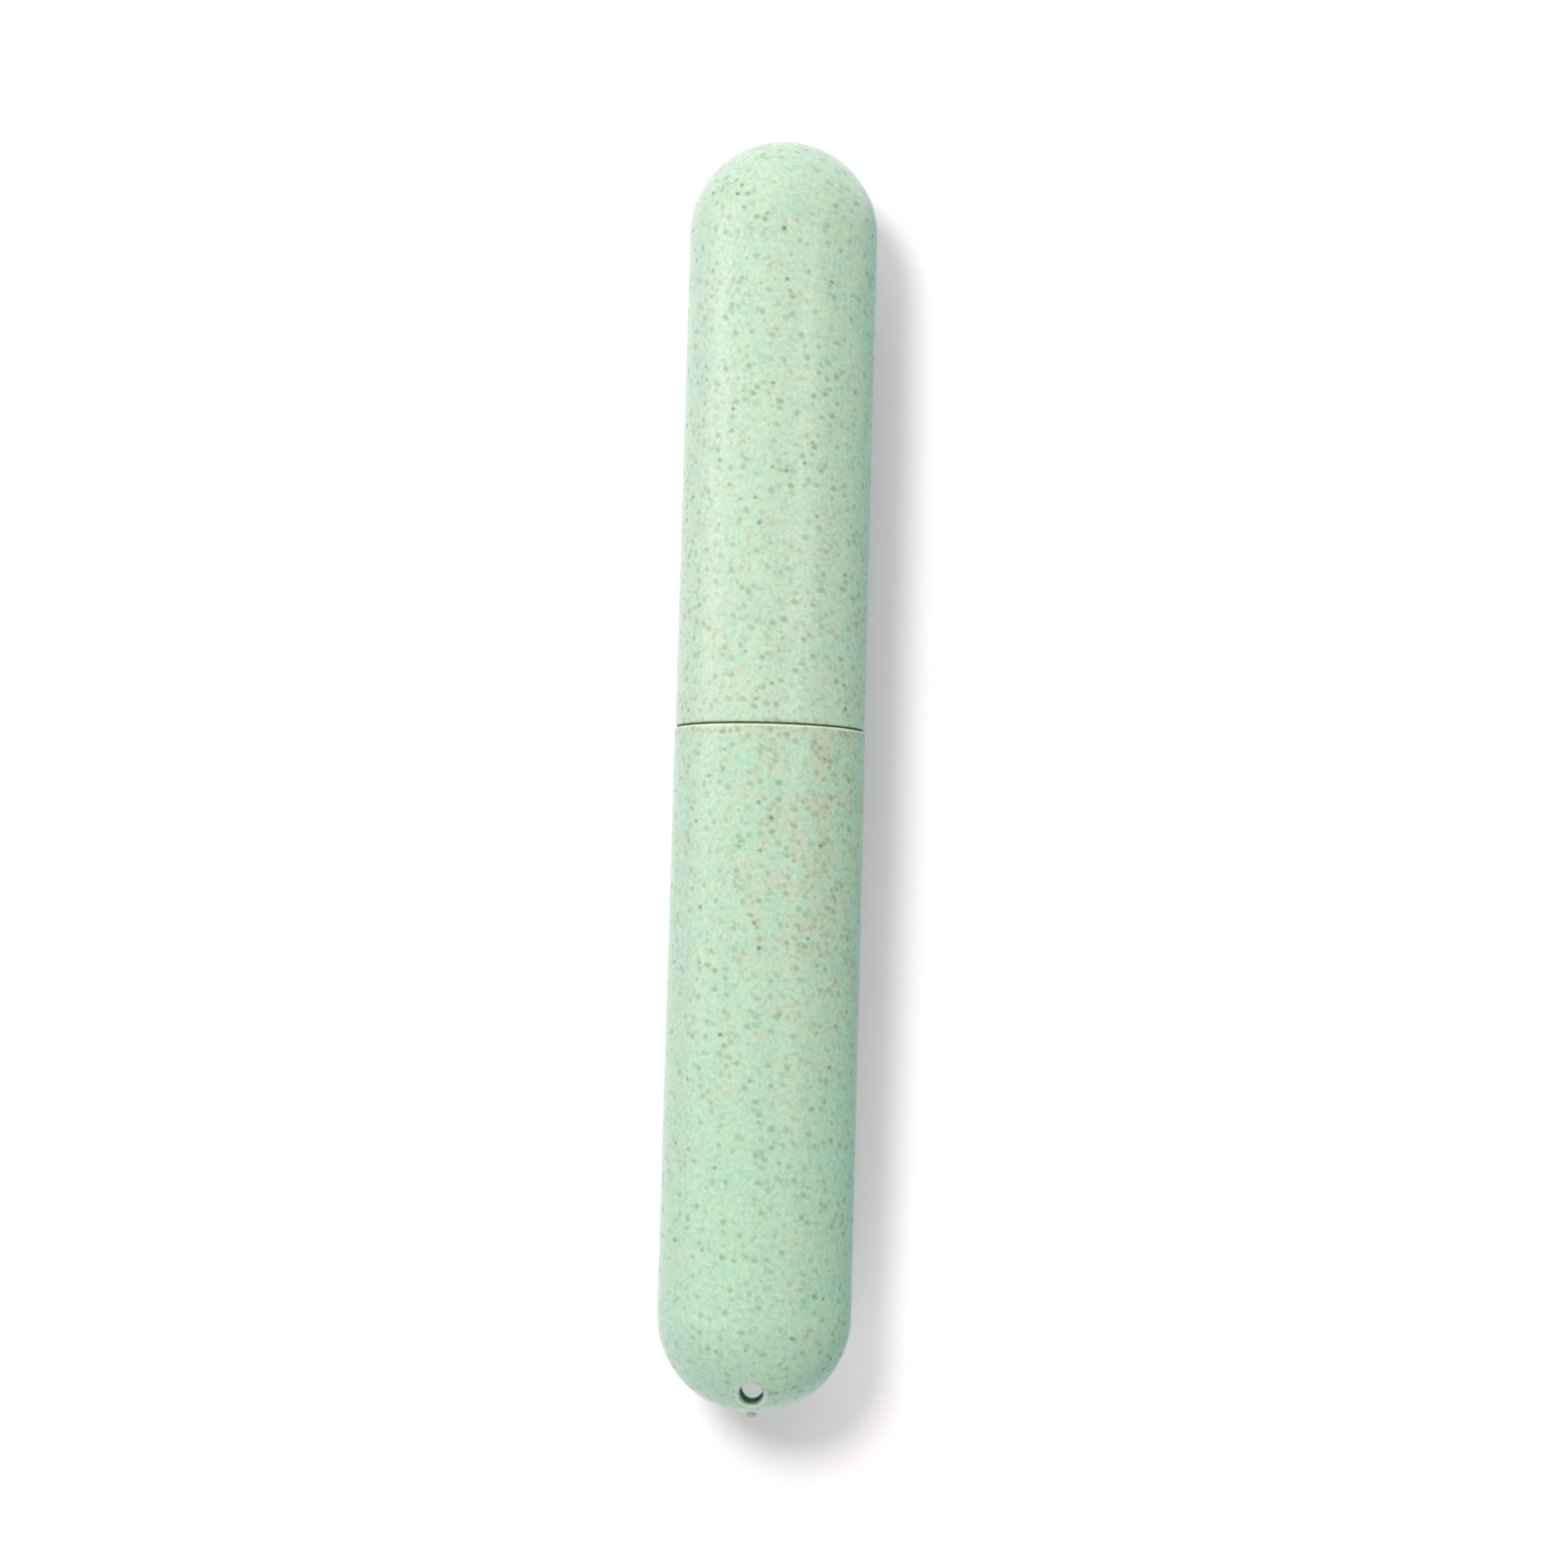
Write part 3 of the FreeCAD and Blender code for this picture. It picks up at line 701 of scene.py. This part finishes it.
# Directions are from the case to the lamp. The key lamp makes the shadow and leaves no mirror image.
# The other two are seen in the plastic's sheen, and light the case alone. That sheen also shows the
# white floor and sky, dimmed on the right as by a dark card, from the first place across to the second.
lights = {
    "sheen": {"dim": 0.05, "floor": (12 * mm, 30 * mm), "sky": (-0.1, 0.3),
              "extra": 0.7, "colour": "#FFF2F7"},
    "capEnd": {"colour": "#FFFAFD", "strength": 2.2},
    "bodyEnd": {"colour": "#F9F8FC", "strength": 1.90},
    "key": {"direction": (-0.345, 0.342, 0.877), "distance": 1.2, "size": 0.40, "energy": 5.95,
            "colour": "#FCFFFC", "mirrored": False, "caseOnly": False},
    "side": {"direction": (-0.95, 0.24, 0.20), "distance": 0.95, "size": 0.50, "energy": 3.5,
             "colour": "#FFE8EF", "mirrored": True, "caseOnly": True},
    "right": {"direction": (0.52, 0.15, 0.84), "distance": 0.95, "size": 0.35, "energy": 2.75,
              "colour": "#FFFAF6", "mirrored": True, "caseOnly": True},
}

cameraSetup = {
    "aim": Vector((2.41 * mm, -1.33 * mm, 15.15 * mm)),
    "distance": 0.70,
    "tiltAcross": 0.6,      # degrees: the camera stands a little to the right of the case
    "tiltAlong": 3.56,      # degrees: and towards the hole
    "roll": 1.56,           # degrees
    "lens": 102.2,          # millimetres, as the sensor
    "sensor": 36,
    "clipStart": 0.01,
}


def whiteShare(tree, across, card, full):
    # How far a ray meets plain white: the camera's in full, the sheen's less towards the dark card.
    path = addNode(tree, "ShaderNodeLightPath", {}, {})
    start, end = card
    dimmed = addNode(tree, "ShaderNodeMapRange", {"interpolation_type": "SMOOTHSTEP"},
                     {"Value": across, "From Min": start, "From Max": end,
                      "To Min": full, "To Max": lights["sheen"]["dim"]})
    sheen = addNode(tree, "ShaderNodeMath", {"operation": "MULTIPLY"},
                    {0: path["Is Glossy Ray"], 1: dimmed["Result"]})
    seen = addNode(tree, "ShaderNodeMath", {"operation": "MAXIMUM"},
                   {0: path["Is Camera Ray"], 1: sheen["Value"]})
    return path["Is Camera Ray"], sheen["Value"], seen["Value"]


def whiteBoard():
    # Matt white board that keeps the case's shadow and turns into the white backdrop further out.
    material = bpy.data.materials.new("white_board")
    tree = emptyTree(material)
    place = addNode(tree, "ShaderNodeTexCoord", {}, {})["Object"]
    part = addNode(tree, "ShaderNodeSeparateXYZ", {}, {"Vector": place})

    # The sheen shows no white from under the case, and the dark card ends at the cap's end.
    across = addNode(tree, "ShaderNodeMath", {"operation": "ABSOLUTE"}, {0: part["X"]})
    beside = addNode(tree, "ShaderNodeMath", {"operation": "GREATER_THAN"},
                     {0: across["Value"], 1: bodyHigh.x})
    along = addNode(tree, "ShaderNodeMath", {"operation": "ABSOLUTE"}, {0: part["Y"]})
    past = addNode(tree, "ShaderNodeMath", {"operation": "GREATER_THAN"},
                   {0: along["Value"], 1: capHigh.y})
    shown = addNode(tree, "ShaderNodeMath", {"operation": "MAXIMUM"},
                    {0: beside["Value"], 1: past["Value"]})
    carded = addNode(tree, "ShaderNodeMath", {"operation": "LESS_THAN"}, {0: part["Y"], 1: capHigh.y})
    cardPlace = addNode(tree, "ShaderNodeMath", {"operation": "MULTIPLY"},
                        {0: part["X"], 1: carded["Value"]})
    camera, sheen, seen = whiteShare(tree, cardPlace["Value"], lights["sheen"]["floor"], shown["Value"])

    colour = addNode(tree, "ShaderNodeMix", {"data_type": "RGBA"},
                     {mixShare: seen, mixFrom: hexColour(floorSetup["bounce"]),
                      mixTo: hexColour(floorSetup["colour"])})[mixResult]
    gain = addNode(tree, "ShaderNodeMapRange", {},
                   {"Value": seen, "To Min": 1.0, "To Max": floorSetup["gain"]})
    gained = addNode(tree, "ShaderNodeVectorMath", {"operation": "SCALE"},
                     {0: colour, "Scale": gain["Result"]})
    board = addNode(tree, "ShaderNodeBsdfDiffuse", {}, {"Color": gained["Vector"]})

    # Painted light: the white the camera sees grows towards the hole's end, which lightens the case's
    # shadow below the tip.
    atMiddle, atHole = floorSetup["lift"]
    ground = addNode(tree, "ShaderNodeMapRange", {},
                     {"Value": part["Y"], "From Min": 0.0, "From Max": bodyLow.y,
                      "To Min": atMiddle, "To Max": atHole})
    reach = addNode(tree, "ShaderNodeVectorMath", {"operation": "LENGTH"}, {0: place})
    near, far = floorSetup["fade"]
    level = addNode(tree, "ShaderNodeMapRange", {"interpolation_type": "SMOOTHSTEP"},
                    {"Value": reach["Value"], "From Min": near, "From Max": far,
                     "To Min": ground["Result"], "To Max": 1.0})
    lift = addNode(tree, "ShaderNodeMath", {"operation": "MULTIPLY"}, {0: camera, 1: level["Result"]})
    extra = addNode(tree, "ShaderNodeMath", {"operation": "MULTIPLY_ADD"},
                    {0: sheen, 1: lights["sheen"]["extra"], 2: lift["Value"]})
    tint = addNode(tree, "ShaderNodeMix", {"data_type": "RGBA"},
                   {mixShare: camera, mixFrom: hexColour(lights["sheen"]["colour"]),
                    mixTo: hexColour("#FFFFFF")})[mixResult]
    glow = addNode(tree, "ShaderNodeEmission", {}, {"Color": tint, "Strength": extra["Value"]})
    both = addNode(tree, "ShaderNodeAddShader", {}, {0: board["BSDF"], 1: glow["Emission"]})
    addNode(tree, "ShaderNodeOutputMaterial", {}, {"Surface": both["Shader"]})
    return material


def makeFloor():
    bm = bmesh.new()
    bmesh.ops.create_grid(bm, x_segments=1, y_segments=1, size=floorSetup["halfSize"],
                          matrix=Matrix.Translation((0, 0, -floorSetup["gap"])))
    floor = placeMesh(bm, "floor", whiteBoard())


def makeWorld():
    # White to the camera and in the plastic's sheen. As light it glows from both ends of the case.
    world = bpy.data.worlds.new("studio")
    bpy.context.scene.world = world
    tree = emptyTree(world)
    direction = addNode(tree, "ShaderNodeTexCoord", {}, {})["Generated"]
    part = addNode(tree, "ShaderNodeSeparateXYZ", {}, {"Vector": direction})
    square = addNode(tree, "ShaderNodeMath", {"operation": "MULTIPLY"}, {0: part["Y"], 1: part["Y"]})
    ahead = addNode(tree, "ShaderNodeMath", {"operation": "GREATER_THAN"}, {0: part["Y"], 1: 0.0})
    bodyEnd, capEnd = lights["bodyEnd"], lights["capEnd"]
    level = addNode(tree, "ShaderNodeMapRange", {},
                    {"Value": ahead["Value"],
                     "To Min": bodyEnd["strength"], "To Max": capEnd["strength"]})
    glow = addNode(tree, "ShaderNodeMath", {"operation": "MULTIPLY"},
                   {0: square["Value"], 1: level["Result"]})
    _, sheen, seen = whiteShare(tree, part["X"], lights["sheen"]["sky"], 1.0)
    strength = addNode(tree, "ShaderNodeMapRange", {},
                       {"Value": seen, "To Min": glow["Value"], "To Max": 1.0})
    extra = addNode(tree, "ShaderNodeMath", {"operation": "MULTIPLY_ADD"},
                    {0: sheen, 1: lights["sheen"]["extra"], 2: strength["Result"]})
    tint = addNode(tree, "ShaderNodeMix", {"data_type": "RGBA"},
                   {mixShare: ahead["Value"], mixFrom: hexColour(bodyEnd["colour"]),
                    mixTo: hexColour(capEnd["colour"])})[mixResult]
    colour = addNode(tree, "ShaderNodeMix", {"data_type": "RGBA"},
                     {mixShare: seen, mixFrom: tint, mixTo: hexColour("#FFFFFF")})[mixResult]
    sky = addNode(tree, "ShaderNodeBackground", {}, {"Color": colour, "Strength": extra["Value"]})
    addNode(tree, "ShaderNodeOutputWorld", {}, {"Surface": sky["Background"]})


def addPanel(name, panel, case):
    light = bpy.data.lights.new(name, "AREA")
    light.shape = "DISK"
    light.size = panel["size"]
    light.energy = panel["energy"]
    light.color = hexColour(panel["colour"])[:3]
    direction = Vector(panel["direction"]).normalized()
    lamp = bpy.data.objects.new(name, light)
    lamp.location = Vector((0, 0, axisHeight)) + direction * panel["distance"]
    lamp.rotation_euler = direction.to_track_quat("Z", "Y").to_euler()
    lamp.visible_glossy = panel["mirrored"]
    if panel["caseOnly"]:
        lamp.light_linking.receiver_collection = case
    bpy.context.scene.collection.objects.link(lamp)


def makeCamera():
    setup = cameraSetup
    angles = ("tiltAcross", "tiltAlong", "roll")
    tiltAcross, tiltAlong, roll = (math.radians(setup[angle]) for angle in angles)
    back = Vector((math.tan(tiltAcross), -math.tan(tiltAlong), 1)).normalized()
    right = Vector((0, 1, 0)).cross(back).normalized()
    up = back.cross(right)
    turned = Matrix((right, up, back)).transposed() @ Matrix.Rotation(roll, 3, "Z")
    data = bpy.data.cameras.new("camera")
    data.lens = setup["lens"]
    data.sensor_width = setup["sensor"]
    data.clip_start = setup["clipStart"]
    camera = bpy.data.objects.new("camera", data)
    camera.matrix_world = Matrix.Translation(setup["aim"] + back * setup["distance"]) @ turned.to_4x4()
    bpy.context.scene.collection.objects.link(camera)
    bpy.context.scene.camera = camera


case = bpy.data.collections.new("case")
case.objects.link(makeBody(strawPolypropylene("body_plastic", bodyLook)))
case.objects.link(makeCap(strawPolypropylene("cap_plastic", capLook)))
makeFloor()
makeWorld()
for lampName in ("key", "side", "right"):
    addPanel(lampName, lights[lampName], case)
makeCamera()
bpy.context.scene.view_settings.view_transform = "Standard"
print("floor, lights and camera set")
